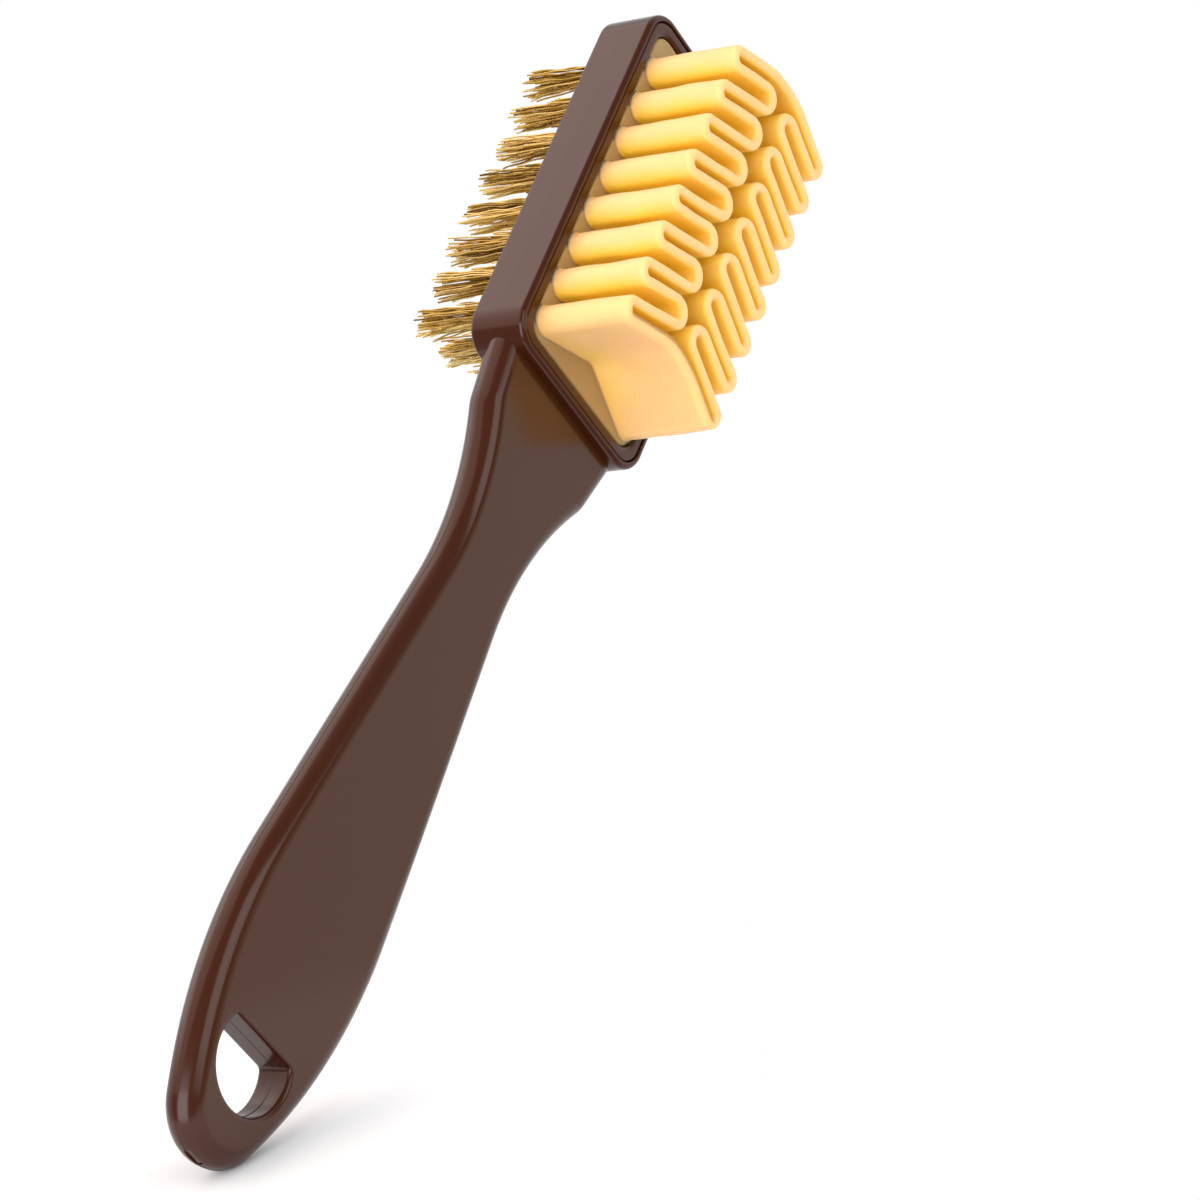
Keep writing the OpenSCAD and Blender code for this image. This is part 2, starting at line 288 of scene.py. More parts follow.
def outline_normal(i):
    """The outward normal at a point of the handle's half outline."""
    before = half_outline[max(i - 1, 0)]
    last = i == len(half_outline) - 1
    after = Vector((-before.x, before.y)) if last else half_outline[i + 1]
    along = (after - before).normalized()
    return Vector((-along.y, along.x))


outline_normals = [outline_normal(i) for i in range(len(half_outline))]

# The handle droops a little towards the wire side, and bows
HANDLE_TILT = math.tan(math.radians(2.1))
TIP_DROP = 5.6
bow = (TIP_DROP - HANDLE_TILT * HANDLE_LENGTH) / HANDLE_LENGTH**2


def handle_mid(y):
    """Height of the handle's middle."""
    return HANDLE_TILT * y + bow * y * abs(y)


# Its edges' rounding reaches further in towards the tip
EDGE_REACH_NECK, EDGE_REACH_TIP = 1.35, 1.6
REACH_FROM_HEAD, REACH_FROM_TIP = 70, 20


def clamped(value):
    return min(1, max(0, value))


def edge_reach(y):
    """How far the edge's rounding reaches in, as a share of its height."""
    share = clamped((-y - REACH_FROM_HEAD) / (HANDLE_LENGTH - REACH_FROM_HEAD - REACH_FROM_TIP))
    share = share * share * (3 - 2 * share)
    return EDGE_REACH_NECK + (EDGE_REACH_TIP - EDGE_REACH_NECK) * share


def handle_ring(inset, rise):
    """The handle's whole outline, drawn in by inset and set above its middle by rise."""
    right = []
    for p, n in zip(half_outline, outline_normals):
        q = p - n * inset * edge_reach(p.y)
        right.append((q.x, q.y, handle_mid(q.y) + rise))
    right[-1] = (0.0, right[-1][1], right[-1][2])
    return [(-x, y, z) for x, y, z in right] + right[-2::-1]


# A thin flash stands out along the parting plane. Each is a height, half the
# width of its foot and half the width of its edge.
HANDLE_FLASH = (0.05, 0.07, 0.02)
HEAD_FLASH = (0.02, 0.15, 0.02)
HANG_FLASH = (0.09, 0.08, 0.03)


def flash_levels(height, foot, edge):
    """Insets and heights across a flash, as seen from its edge."""
    return [(height, -foot), (0, -edge), (0, edge), (height, foot)]


def handle_levels(steps):
    """Insets and heights up the handle's side: rounded edges with the flash between them."""
    levels = []
    for k in range(steps + 1):
        a = math.radians(-90 + 180 * k / steps)
        inset = HANDLE_FLASH[0] + HANDLE_EDGE * (1 - math.cos(a))
        levels.append((inset, HANDLE_THICKNESS / 2 * math.sin(a)))
    levels[steps // 2:steps // 2 + 1] = flash_levels(*HANDLE_FLASH)
    return levels


handle = loft("handle", [handle_ring(inset, rise) for inset, rise in handle_levels(22)])


# The head is a rounded rectangle with rounded edges, and the tray is cut out of it
def rounded_rectangle(inset, radius, steps=14):
    """The head's outline, drawn in by inset."""
    half = HEAD_WIDTH / 2 - inset
    near, far = inset, HEAD_LENGTH - inset
    return (
        arc((half - radius, near + radius), radius, -90, 0, steps)
        + arc((half - radius, far - radius), radius, 0, 90, steps)
        + arc((radius - half, far - radius), radius, 90, 180, steps)
        + arc((radius - half, near + radius), radius, 180, 270, steps)
    )


def rectangle_rings(levels, corner_at):
    """Rings of the head's outline at (inset, height), with the corner that goes with the inset."""
    return [
        [(p.x, p.y, z) for p in rounded_rectangle(inset, corner_at(inset))] for inset, z in levels
    ]


def head_corner(inset):
    """The corner radius that keeps the head's outlines at an even distance."""
    return CORNER_RADIUS - inset


def quarter(steps):
    """The angles of a quarter turn."""
    return [math.radians(90 * i / steps) for i in range(steps + 1)]


def edge_levels(inset, z, inward, up, steps, flat_first=False):
    """Insets and heights round the edge at (inset, z), from its wall to its flat face or back."""
    if flat_first:
        return [(inset + inward * (1 - math.sin(a)), z + up * (1 - math.cos(a))) for a in quarter(steps)]
    return [(inset + inward * (1 - math.cos(a)), z + up * (1 - math.sin(a))) for a in quarter(steps)]


moulding = loft("moulded_body", rectangle_rings(
    edge_levels(HEAD_FLASH[0], -BOARD_DEPTH, EDGE_RADIUS, EDGE_RADIUS, 6, flat_first=True)
    + flash_levels(*HEAD_FLASH)
    + edge_levels(HEAD_FLASH[0], RIM_HEIGHT, EDGE_RADIUS, -EDGE_RADIUS, 6),
    head_corner,
))
tray_cutter = loft("tray_cutter", rectangle_rings(
    [(TRAY_WALL, TRAY_FLOOR)]
    + edge_levels(TRAY_WALL, RIM_HEIGHT, -RIM_INNER_EDGE, -RIM_INNER_EDGE, 4)
    + [(TRAY_WALL - RIM_INNER_EDGE, RIM_HEIGHT + CUTTER_OVERRUN)],
    head_corner,
))

# The hanging hole: a circle cut off by a straight side, with small corners and rounded lips
HANG_RADIUS = 7.7
HANG_FROM_TIP = 16.2
HANG_FLAT = 3.65
HANG_CORNER, HANG_CORNER_TURN = 0.8, 12
HANG_EDGE = 0.8
HANG_FLAT_SHARE = 0.5
hang_y = HANG_FROM_TIP - HANDLE_LENGTH


def mirrored(right):
    """A closed line from its right half, which starts and ends on the middle."""
    return right + [Vector((-p.x, p.y)) for p in right[-2:0:-1]]


def hang_ring(grow, z):
    """The hole's outline, larger by grow. The straight side moves by a share of that."""
    radius, flat = HANG_RADIUS + grow, HANG_FLAT + grow * HANG_FLAT_SHARE
    corner_angle = math.degrees(math.asin(flat / radius))
    past_corner = corner_angle - HANG_CORNER_TURN
    middle = Vector((0, flat))
    corner, beyond = on_circle((0, 0), radius, corner_angle), on_circle((0, 0), radius, past_corner)
    rounding = fillet(middle, corner, beyond, HANG_CORNER + grow, steps=5)
    right = [middle] + rounding + arc((0, 0), radius, past_corner, -90, steps=30)
    return [(p.x, p.y, z) for p in mirrored(right)]


hang_levels = (
    [(HANG_EDGE, -HANDLE_THICKNESS)]
    + edge_levels(0, -HANDLE_THICKNESS / 2, HANG_EDGE, HANG_EDGE, 5, flat_first=True)
    + [(inset - HANG_FLASH[0], z) for inset, z in flash_levels(*HANG_FLASH)]
    + edge_levels(0, HANDLE_THICKNESS / 2, HANG_EDGE, -HANG_EDGE, 5)
    + [(HANG_EDGE, HANDLE_THICKNESS)]
)
hang_tilt = Matrix.Rotation(math.atan(HANDLE_TILT - 2 * bow * hang_y), 3, "X")


def in_handle(point):
    """A point of the hanging hole, tilted with the handle and moved to its place."""
    q = hang_tilt @ Vector(point)
    return (q.x, q.y + hang_y, q.z + handle_mid(hang_y))


def closed_tube(name, rings):
    """A solid through rings of points, with plain end faces."""
    count = len(rings[0])
    faces = [tuple(reversed(range(count)))]
    for k in range(len(rings) - 1):
        for i in range(count):
            a, b = k * count + i, k * count + (i + 1) % count
            faces.append((a, b, b + count, a + count))
    faces.append(tuple((len(rings) - 1) * count + i for i in range(count)))
    return new_object(name, [v for ring in rings for v in ring], faces)


hang_cutter = closed_tube("hang_cutter", [
    [in_handle(point) for point in reversed(hang_ring(grow, z))] for grow, z in hang_levels
])

# The mark that the mould's gate leaves across the parting line at the tip
GATE_WIDTH, GATE_HEIGHT, GATE_DEPTH = 3.4, 1.2, 0.4
GATE_BELOW = 0.35
tip_z = handle_mid(-HANDLE_LENGTH)
gate_near, gate_far = -HANDLE_LENGTH - CUTTER_OVERRUN, -HANDLE_LENGTH + GATE_DEPTH
gate_outline = [
    (-GATE_WIDTH / 2, gate_near), (GATE_WIDTH / 2, gate_near),
    (GATE_WIDTH / 2, gate_far), (-GATE_WIDTH / 2, gate_far),
]
gate_cutter = closed_tube("gate_cutter", [
    [(x, y, tip_z + z) for x, y in gate_outline]
    for z in (-GATE_HEIGHT * GATE_BELOW, GATE_HEIGHT * (1 - GATE_BELOW))
])

# Blind holes for the tufts: four columns of rows and a staggered column between
TUFT_COLUMN, TUFT_PITCH, TUFT_FIRST, TUFT_ROWS = 6.45, 7.36, 9.3, 8
TUFT_HOLE, HOLE_RIM, HOLE_SIDES = 1.6, 0.25, 48
tuft_columns = {
    f"c{c + 1}": [(step * TUFT_COLUMN, TUFT_FIRST + r * TUFT_PITCH) for r in range(TUFT_ROWS)]
    for c, step in enumerate((-2, -1, 1, 2))
}
tuft_columns["middle"] = [(0, TUFT_FIRST + (r + 0.5) * TUFT_PITCH) for r in range(TUFT_ROWS - 1)]


def hole_rings(x, y):
    """Rings of a tuft hole, from outside the board, in over its widened rim, to its bottom."""
    wide = TUFT_HOLE + HOLE_RIM
    levels = [(wide, -BOARD_DEPTH - CUTTER_OVERRUN), (wide, -BOARD_DEPTH)]
    levels += [(TUFT_HOLE, -BOARD_DEPTH + HOLE_RIM), (TUFT_HOLE, 0)]
    last = 360 - 360 / HOLE_SIDES
    return [[(p.x, p.y, z) for p in arc((x, y), r, 0, last, HOLE_SIDES - 1)] for r, z in levels]


def merged(name, things):
    """One object made of several, which are removed."""
    bm = bmesh.new()
    for thing in things:
        bm.from_mesh(thing.data)
        bpy.data.objects.remove(thing)
    mesh = bpy.data.meshes.new(name)
    bm.to_mesh(mesh)
    bm.free()
    whole = bpy.data.objects.new(name, mesh)
    bpy.context.scene.collection.objects.link(whole)
    return whole


holes_cutter = merged("holes_cutter", [
    closed_tube("hole_cutter", hole_rings(x, y)) for spots in tuft_columns.values() for x, y in spots
])


def outward(thing):
    """Turns every face of a closed mesh outwards."""
    bm = bmesh.new()
    bm.from_mesh(thing.data)
    bmesh.ops.remove_doubles(bm, verts=bm.verts, dist=1e-7)
    bmesh.ops.recalc_face_normals(bm, faces=bm.faces)
    bm.to_mesh(thing.data)
    bm.free()


def baked(thing):
    """Replaces an object's mesh by what its modifiers make of it."""
    graph = bpy.context.evaluated_depsgraph_get()
    mesh = bpy.data.meshes.new_from_object(thing.evaluated_get(graph))
    thing.modifiers.clear()
    thing.data = mesh


def combine(thing, steps):
    """Joins solids to a closed piece, or cuts them from it, and removes them."""
    outward(thing)
    for operation, tool in steps:
        outward(tool)
        step = thing.modifiers.new(tool.name, "BOOLEAN")
        step.operation = operation
        step.solver = "EXACT"
        step.object = tool
    baked(thing)
    for _, tool in steps:
        bpy.data.objects.remove(tool)


def shade(thing, crease=30):
    """Smooth shading, kept crisp where faces meet at more than the crease angle."""
    for face in thing.data.polygons:
        face.use_smooth = True
    thing.data.set_sharp_from_angle(angle=math.radians(crease))
    even = thing.modifiers.new("even_normals", "WEIGHTED_NORMAL")
    even.keep_sharp = True
    baked(thing)


combine(moulding, [
    ("UNION", handle),
    ("DIFFERENCE", tray_cutter),
    ("DIFFERENCE", hang_cutter),
    ("DIFFERENCE", gate_cutter),
    ("DIFFERENCE", holes_cutter),
])
shade(moulding)


def node_group(name, kind, inputs, outputs):
    """An empty node group. Inputs are (name, type, value) and outputs (name, type)."""
    group = bpy.data.node_groups.new(name, kind)
    for label, socket_type, value in inputs:
        item = group.interface.new_socket(label, in_out="INPUT", socket_type="NodeSocket" + socket_type)
        if value is not None:
            item.default_value = value
    for label, socket_type in outputs:
        group.interface.new_socket(label, in_out="OUTPUT", socket_type="NodeSocket" + socket_type)
    return group


def grain_group():
    """Noise on the piece's own coordinates. Its scale is in features per metre."""
    group = node_group(
        "grain", "ShaderNodeTree",
        [("Scale", "Float", 100.0), ("Detail", "Float", 3.0)], [("Amount", "Float")],
    )
    tree = Nodes(group)
    given = tree.add("NodeGroupInput").outputs
    place = tree.add("ShaderNodeTexCoord").outputs["Object"]
    cells = tree.add(
        "ShaderNodeTexNoise", {"Vector": place, "Scale": given["Scale"], "Detail": given["Detail"]}
    )
    tree.add("NodeGroupOutput", {"Amount": cells.outputs["Fac"]})
    return group


fine_grain = grain_group()


def grain(tree, scale, detail=3.0):
    """The grain group, placed in a tree."""
    placed_group = tree.add("ShaderNodeGroup", {"Scale": scale, "Detail": detail}, node_tree=fine_grain)
    return placed_group.outputs["Amount"]


def finish_group():
    """Injection-moulded plastic with a finely grained, slightly paler bloom on the flats. Its rounded
    edges keep a darker, redder tone: partly their glossy finish, partly painted shade for the dark
    reflections they show.
    """
    group = node_group(
        "moulded_finish", "ShaderNodeTree",
        [("Polished and shaded", "Color", None), ("Satin", "Color", None)],
        [("Colour", "Color"), ("Roughness", "Float"), ("Grain", "Float")],
    )
    tree = Nodes(group)
    given = tree.add("NodeGroupInput").outputs
    normal = tree.add("ShaderNodeNewGeometry").outputs["Normal"]
    height_way = tree.add("ShaderNodeSeparateXYZ", {0: normal}).outputs["Z"]
    flatness = tree.math("ABSOLUTE", height_way)
    # Flats get the satin bloom; the rounded edges keep the first tone, which is partly painted shade for
    # their dark reflections.
    flats_bloom_edges_shade = tree.span(flatness, start=0.93, end=0.995, low=0.0, high=0.8, blend="SMOOTHSTEP")
    mottling = 0.2
    mottled_bloom_and_edge_shade = tree.math("MULTIPLY_ADD", grain(tree, scale=60), mottling, flats_bloom_edges_shade)
    colour = tree.add(
        "ShaderNodeMix", {"Factor": mottled_bloom_and_edge_shade, "A": given["Polished and shaded"], "B": given["Satin"]},
        data_type="RGBA",
    )
    wear = grain(tree, scale=35, detail=4.0)
    tree.add("NodeGroupOutput", {
        "Colour": colour.outputs["Result"],
        "Roughness": tree.span(wear, start=0.3, end=0.7, low=0.15, high=0.21),
        "Grain": grain(tree, scale=9000, detail=2.0),
    })
    return group


moulded_finish = finish_group()


def paint(name):
    """A new material, its tree and its main shader."""
    material = bpy.data.materials.new(name)
    material.use_nodes = True
    return material, Nodes(material.node_tree), material.node_tree.nodes["Principled BSDF"]


def bump(tree, shader, height, strength, distance):
    """Raises the surface by a height that changes over it. The distance is in millimetres."""
    raised = tree.add(
        "ShaderNodeBump", {"Height": height, "Strength": strength, "Distance": distance * MM}
    )
    tree.feed(shader.inputs["Normal"], raised.outputs["Normal"])


def brown_plastic(name, polished_and_shaded, satin):
    """Glossy brown plastic with the moulded finish, in two tones: the edges' tone is partly painted
    shade.
    """
    material, tree, shader = paint(name)
    finish = tree.add(
        "ShaderNodeGroup", {"Polished and shaded": (*polished_and_shaded, 1), "Satin": (*satin, 1)}, node_tree=moulded_finish
    ).outputs
    tree.feed(shader.inputs["Base Color"], finish["Colour"])
    tree.feed(shader.inputs["Roughness"], finish["Roughness"])
    bump(tree, shader, finish["Grain"], strength=0.12, distance=0.02)
    shader.inputs["Specular IOR Level"].default_value = 0.4
    return material


# The edges' darker tone is partly painted shade for the dark reflections on them.
moulding.data.materials.clear()
moulding.data.materials.append(
    brown_plastic("handle_plastic", (0.039, 0.0075, 0.002), (0.051, 0.015, 0.0028))
)
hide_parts("handle_body")
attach(moulding, "root")


# Retaining frame
# A thin brown plastic ring, pressed into the tray. Its rounded lip holds the
# rubber down and a fine dark joint shows between it and the tray's wall.
FRAME_GAP, FRAME_WIDTH = 0.15, 1.95
FRAME_INSET = TRAY_WALL + FRAME_GAP
OPENING_INSET = FRAME_INSET + FRAME_WIDTH
OPENING_CORNER = 2.9
LEG = 0.9
LIP = 1.4
OUTER_BEAD, INNER_BEAD = 0.35, 0.7


def frame_corner(inset):
    """The corner radius, from the outer side's to the opening's."""
    share = (inset - FRAME_INSET) / (OPENING_INSET - FRAME_INSET)
    outer = head_corner(FRAME_INSET)
    return outer + (OPENING_CORNER - outer) * share


def ring_solid(name, rings):
    """A closed ring-shaped solid through rings of points, the last joined to the first."""
    count, levels = len(rings[0]), len(rings)
    faces = []
    for k in range(levels):
        for i in range(count):
            j = (i + 1) % count
            a, b = k * count, (k + 1) % levels * count
            faces.append((a + i, a + j, b + j, b + i))
    return new_object(name, [v for ring in rings for v in ring], faces)


frame_ring = ring_solid("frame_ring", rectangle_rings(
    [(FRAME_INSET, TRAY_FLOOR)]
    + edge_levels(FRAME_INSET, FRAME_TOP, OUTER_BEAD, -OUTER_BEAD, 5)
    + edge_levels(OPENING_INSET, FRAME_TOP, -INNER_BEAD, -INNER_BEAD, 6, flat_first=True)
    + [(OPENING_INSET, FRAME_TOP - LIP), (FRAME_INSET + LEG, FRAME_TOP - LIP)]
    + [(FRAME_INSET + LEG, TRAY_FLOOR)],
    frame_corner,
))
outward(frame_ring)
shade(frame_ring)
# As on the handle, the edges' darker tone is partly painted shade for the dark reflections on them.
frame_ring.data.materials.append(
    brown_plastic("frame_plastic", (0.042, 0.0085, 0.002), (0.053, 0.015, 0.003))
)
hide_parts("retaining_frame")
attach(frame_ring, "root")


# Rubber block
# One moulding of cream crepe rubber: a base plate, and a single closed wall that
# winds in chevron lobes, open in the middle valley and in the side grooves.
CREST = 21.7
BASE_TOP = 4.7
WALL = 1.75
SLOT = 1.15
GROOVE = 2.35
VALLEY = 1.65
CHEVRON = math.radians(21.8)
LOBES = 8
LOBE_GAP, NEAR_GAP = 0.25, 1.3
APEX_RADIUS = 17
NEAR_APEX_FOOT, NEAR_APEX_CREST = 3, 16
lobe_r = (SLOT + WALL) / 2
turn_r = (GROOVE + WALL) / 2
lobe_pitch = 2 * (lobe_r + turn_r) / math.cos(CHEVRON)
lobe_reach = HEAD_WIDTH / 2 - OPENING_INSET - LOBE_GAP - lobe_r - WALL / 2
turn_reach = VALLEY / 2 + turn_r + WALL / 2
first_slot = OPENING_INSET + NEAR_GAP + lobe_r + WALL / 2 + lobe_reach * math.tan(CHEVRON)


def arm(x, y):
    """The point at x on the chevron's right arm, whose middle is at y."""
    return Vector((x, y - x * math.tan(CHEVRON)))


def slot_y(k):
    return first_slot + lobe_pitch * k


def half_contour(shift, near_radius, steps=14):
    """The wall's face on the right half, shift from its middle line: above 0 towards the grooves."""
    blunt = APEX_RADIUS - WALL / 2 + shift
    apex = (0, slot_y(LOBES - 1) + (lobe_r + shift - blunt) / math.cos(CHEVRON))
    slant = math.degrees(CHEVRON)
    line = arc(apex, blunt, 90, 90 - slant, steps)
    for k in range(LOBES - 1, -1, -1):
        line += arc(arm(lobe_reach, slot_y(k)), lobe_r + shift, 90 - slant, -90 - slant, steps)
        if k:
            turn_middle = arm(turn_reach, slot_y(k) - lobe_pitch / 2)
            line += arc(turn_middle, turn_r - shift, 90 - slant, 270 - slant, steps)
    near = Vector((0, slot_y(0) - (lobe_r + shift) / math.cos(CHEVRON)))
    rounding = near_radius - shift
    centre = near - Vector((0, rounding / math.cos(CHEVRON)))
    return line + arc(centre, rounding, 90 - slant, 90, steps=6)


def even_contour(shift, near_radius, step=1.2):
    """The whole closed face, with the same number of points for every shift."""
    whole = mirrored(half_contour(shift, near_radius))
    reference = mirrored(half_contour(0, NEAR_APEX_FOOT))
    dense = []
    for i, a in enumerate(whole):
        j = (i + 1) % len(whole)
        parts = max(1, round((reference[j] - reference[i]).length / step))
        dense += [a.lerp(whole[j], n / parts) for n in range(parts)]
    return dense


# The wall's foot is flared and stands a little in the plate. Its crest is rounded, most at the near end
CREST_ROUND, NEAR_ROUND = 0.8, 1.45
NEAR_FADE, NEAR_FADE_START = 1.2, 1.2
BASE_FLARE = 0.5
WALL_SINK = 0.02
FLANK_STEPS = 12
near_middle_y = slot_y(0) - (lobe_r + WALL / 2) / math.cos(CHEVRON)
middle_line = [even_contour(0, radius) for radius in (NEAR_APEX_FOOT, NEAR_APEX_CREST)]
flanks = {
    side: [even_contour(side * WALL / 2, radius) for radius in (NEAR_APEX_FOOT, NEAR_APEX_CREST)]
    for side in (1, -1)
}
UNEVEN, UNEVEN_RISE, UNEVEN_WAVE = 0.22, 6, 6


def soft_shift(point, z):
    """A slight unevenness of the soft rubber, none at the base plate."""
    share = clamped((z - BASE_TOP) / UNEVEN_RISE)
    seed = Vector((point.x, point.y, z)) / UNEVEN_WAVE
    return (
        UNEVEN * share * noise.noise(seed + Vector((3, 7, 1))),
        UNEVEN * share * noise.noise(seed + Vector((11, 5, 9))),
    )


def near_share(point):
    """1 on the outer face of the near-end wall, 0 elsewhere."""
    from_face = (point.y - near_middle_y + abs(point.x) * math.tan(CHEVRON)) * math.cos(CHEVRON)
    return clamped(NEAR_FADE_START - from_face / NEAR_FADE)


def wall_section(part, along, round_radius):
    """How far the face lies inwards, and its height, along the foot's flare, the flank or the crest."""
    if part == "foot":
        z = BASE_TOP - WALL_SINK + BASE_FLARE * (1 - math.cos(along))
        return -BASE_FLARE * (1 - math.sin(along)), z
    if part == "flank":
        return 0, BASE_TOP + BASE_FLARE + (CREST - round_radius - BASE_TOP - BASE_FLARE) * along
    return round_radius * (1 - math.cos(along)), CREST - round_radius * (1 - math.sin(along))


def wall_ring(side, part, along):
    """One ring of the wall's face on one side."""
    ring = []
    for foot_face, crest_face, foot_core, crest_core in zip(*flanks[side], *middle_line):
        round_radius = CREST_ROUND
        if side > 0:
            round_radius += (NEAR_ROUND - CREST_ROUND) * near_share(foot_face)
        inward, z = wall_section(part, along, round_radius)
        rise = clamped((z - BASE_TOP) / (CREST - BASE_TOP))
        face, core = foot_face.lerp(crest_face, rise), foot_core.lerp(crest_core, rise)
        p = face.lerp(core, inward / (WALL / 2))
        dx, dy = soft_shift(p, z)
        ring.append((p.x + dx, p.y + dy, z))
    return ring


wall_levels = (
    [("foot", a) for a in quarter(4)]
    + [("flank", i / FLANK_STEPS) for i in range(1, FLANK_STEPS)]
    + [("crest", a) for a in quarter(7)]
)
rubber = ring_solid("crepe_rubber", (
    [wall_ring(1, *level) for level in wall_levels]
    + [wall_ring(-1, *level) for level in reversed(wall_levels)]
))

RUBBER_GAP = 0.15
LIP_GAP = 0.05
FLANGE_CORNER = 2.6
PLATE_ROUND = 0.35
flange_inset = FRAME_INSET + LEG + RUBBER_GAP
plate_inset = OPENING_INSET + RUBBER_GAP
flange_top = FRAME_TOP - LIP - LIP_GAP


def plate_corner(inset):
    """The corner radius of the flange, or of the plate in the frame's opening."""
    return FLANGE_CORNER if inset < plate_inset else OPENING_CORNER - RUBBER_GAP


plate = loft("base_plate", rectangle_rings(
    [(flange_inset, TRAY_FLOOR), (flange_inset, flange_top), (plate_inset, flange_top)]
    + edge_levels(plate_inset, BASE_TOP, PLATE_ROUND, -PLATE_ROUND, 5),
    plate_corner,
))
combine(rubber, [("UNION", plate)])
shade(rubber, crease=50)


def store_enclosure(thing, reach, rays, clear=0.03 * MM):
    """Keeps, at each vertex, how much of its outlook the piece itself shuts in. The rubber's colour
    paints its fold shade from it.
    """
    mesh = thing.data
    tree = BVHTree.FromPolygons([v.co for v in mesh.vertices], [p.vertices for p in mesh.polygons])
    golden = math.pi * (3 - math.sqrt(5))
    fan = [
        (math.sqrt((i + 0.5) / rays), golden * i, math.sqrt(1 - (i + 0.5) / rays)) for i in range(rays)
    ]
    shut = mesh.attributes.new("enclosure", "FLOAT", "POINT")
    for vertex in mesh.vertices:
        normal = vertex.normal
        across = normal.orthogonal().normalized()
        third = normal.cross(across)
        start = vertex.co + normal * clear
        hits = 0
        for out, spin, up in fan:
            way = across * (out * math.cos(spin)) + third * (out * math.sin(spin)) + normal * up
            hits += tree.ray_cast(start, way, reach)[0] is not None
        shut.data[vertex.index].value = hits / rays


store_enclosure(rubber, reach=12 * MM, rays=20)


def ramp(tree, value, stops):
    """A colour ramp on a value. Stops are (place, colour)."""
    node = tree.add("ShaderNodeValToRGB", {"Fac": value})
    elements = node.color_ramp.elements
    while len(elements) < len(stops):
        elements.new(0.5)
    for element, (place, colour) in zip(elements, stops):
        element.position = place
        element.color = (*colour, 1)
    return node.outputs["Color"]


def crepe_rubber():
    """Soft cream rubber that light passes into, painted paler on open ridges and yellower in its slots
    and folds as painted light and shade there, and brown on its plate, partly painted shade at the
    walls' feet.
    """
    material, tree, shader = paint("crepe")
    # Painted light and shade: the more a spot is shut in, the yellower and deeper it is painted; open
    # ridges are painted paler.
    fold_shade_mask = tree.add("ShaderNodeAttribute", attribute_name="enclosure").outputs["Fac"]
    cloudiness = 0.14
    cloud_and_fold_shade = tree.math("MULTIPLY_ADD", grain(tree, scale=90), cloudiness, fold_shade_mask)
    wall_tone_and_fold_shade = ramp(tree, cloud_and_fold_shade, [
        (0.15, (0.98, 0.53, 0.23)), (0.5, (0.99, 0.58, 0.16)), (0.95, (0.99, 0.66, 0.07)),
    ])
    place = tree.add("ShaderNodeTexCoord").outputs["Object"]
    height = tree.add("ShaderNodeSeparateXYZ", {0: place}).outputs["Z"]
    plate_z, wall_z = placed(0, 0, BASE_TOP + 0.02).z, placed(0, 0, BASE_TOP + 0.3).z
    over_plate = tree.span(height, start=plate_z, end=wall_z, low=0.0, high=1.0)
    # Painted shade at the walls' feet: the plate is brown, partly for the thin rubber over the dark
    # tray.
    tone = tree.add(
        "ShaderNodeMix", {"Factor": over_plate, "A": (0.37, 0.25, 0.1, 1), "B": wall_tone_and_fold_shade},
        data_type="RGBA",
    )
    tree.feed(shader.inputs["Base Color"], tone.outputs["Result"])
    shader.inputs["Roughness"].default_value = 0.38
    shader.inputs["Specular IOR Level"].default_value = 0.35
    shader.inputs["Subsurface Weight"].default_value = 1.0
    shader.inputs["Subsurface Radius"].default_value = (1.0, 0.9, 0.6)
    shader.inputs["Subsurface Scale"].default_value = 2.5 * MM
    bump(tree, shader, grain(tree, scale=700), strength=0.25, distance=0.06)
    return material


rubber.data.materials.append(crepe_rubber())
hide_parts("rubber_block")
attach(rubber, "root")


# Brass tufts
# Bundles of fine crimped brass wire, folded into the board's holes and trimmed.
# They splay from the hole, and each wire has its own lean, length and waves.
WIRE_LENGTH, WIRE_ROOT, TIP_SHY = 15.0, 2, 0.1
SHORTENING = 0.11
FURTHEST_LEAN = 1.4
FAN_RANGE = 0.25
FULL_TURN = 2 * math.pi

tuft_tree = node_group("wire_tufts", "GeometryNodeTree", [
    ("Geometry", "Geometry", None),
    ("Wires", "Int", 52),
    ("Wire radius", "Float", 0.15 * MM),
    ("Bundle radius", "Float", 1.4 * MM),
    ("Length", "Float", (WIRE_LENGTH + WIRE_ROOT - TIP_SHY) * MM),
    ("Spread", "Float", 0.7),
    ("Crimp", "Float", 0.11 * MM),
    ("Crimp length", "Float", 6 * MM),
    ("Seed", "Int", 1),
    ("Material", "Material", None),
], [("Geometry", "Geometry")])
tuft = Nodes(tuft_tree)
given = tuft.add("NodeGroupInput").outputs


def times(a, b):
    return tuft.math("MULTIPLY", a, b)


def plus(a, b):
    return tuft.math("ADD", a, b)


def drawn(low, high, salt):
    """A random value for each wire. The salt keeps it apart from the wire's other values."""
    seed = plus(given["Seed"], salt)
    return tuft.add("FunctionNodeRandomValue", {2: low, 3: high, "Seed": seed}).outputs[1]


copies = tuft.add(
    "GeometryNodeDuplicateElements", {"Geometry": given["Geometry"], "Amount": given["Wires"]},
    domain="POINT",
)
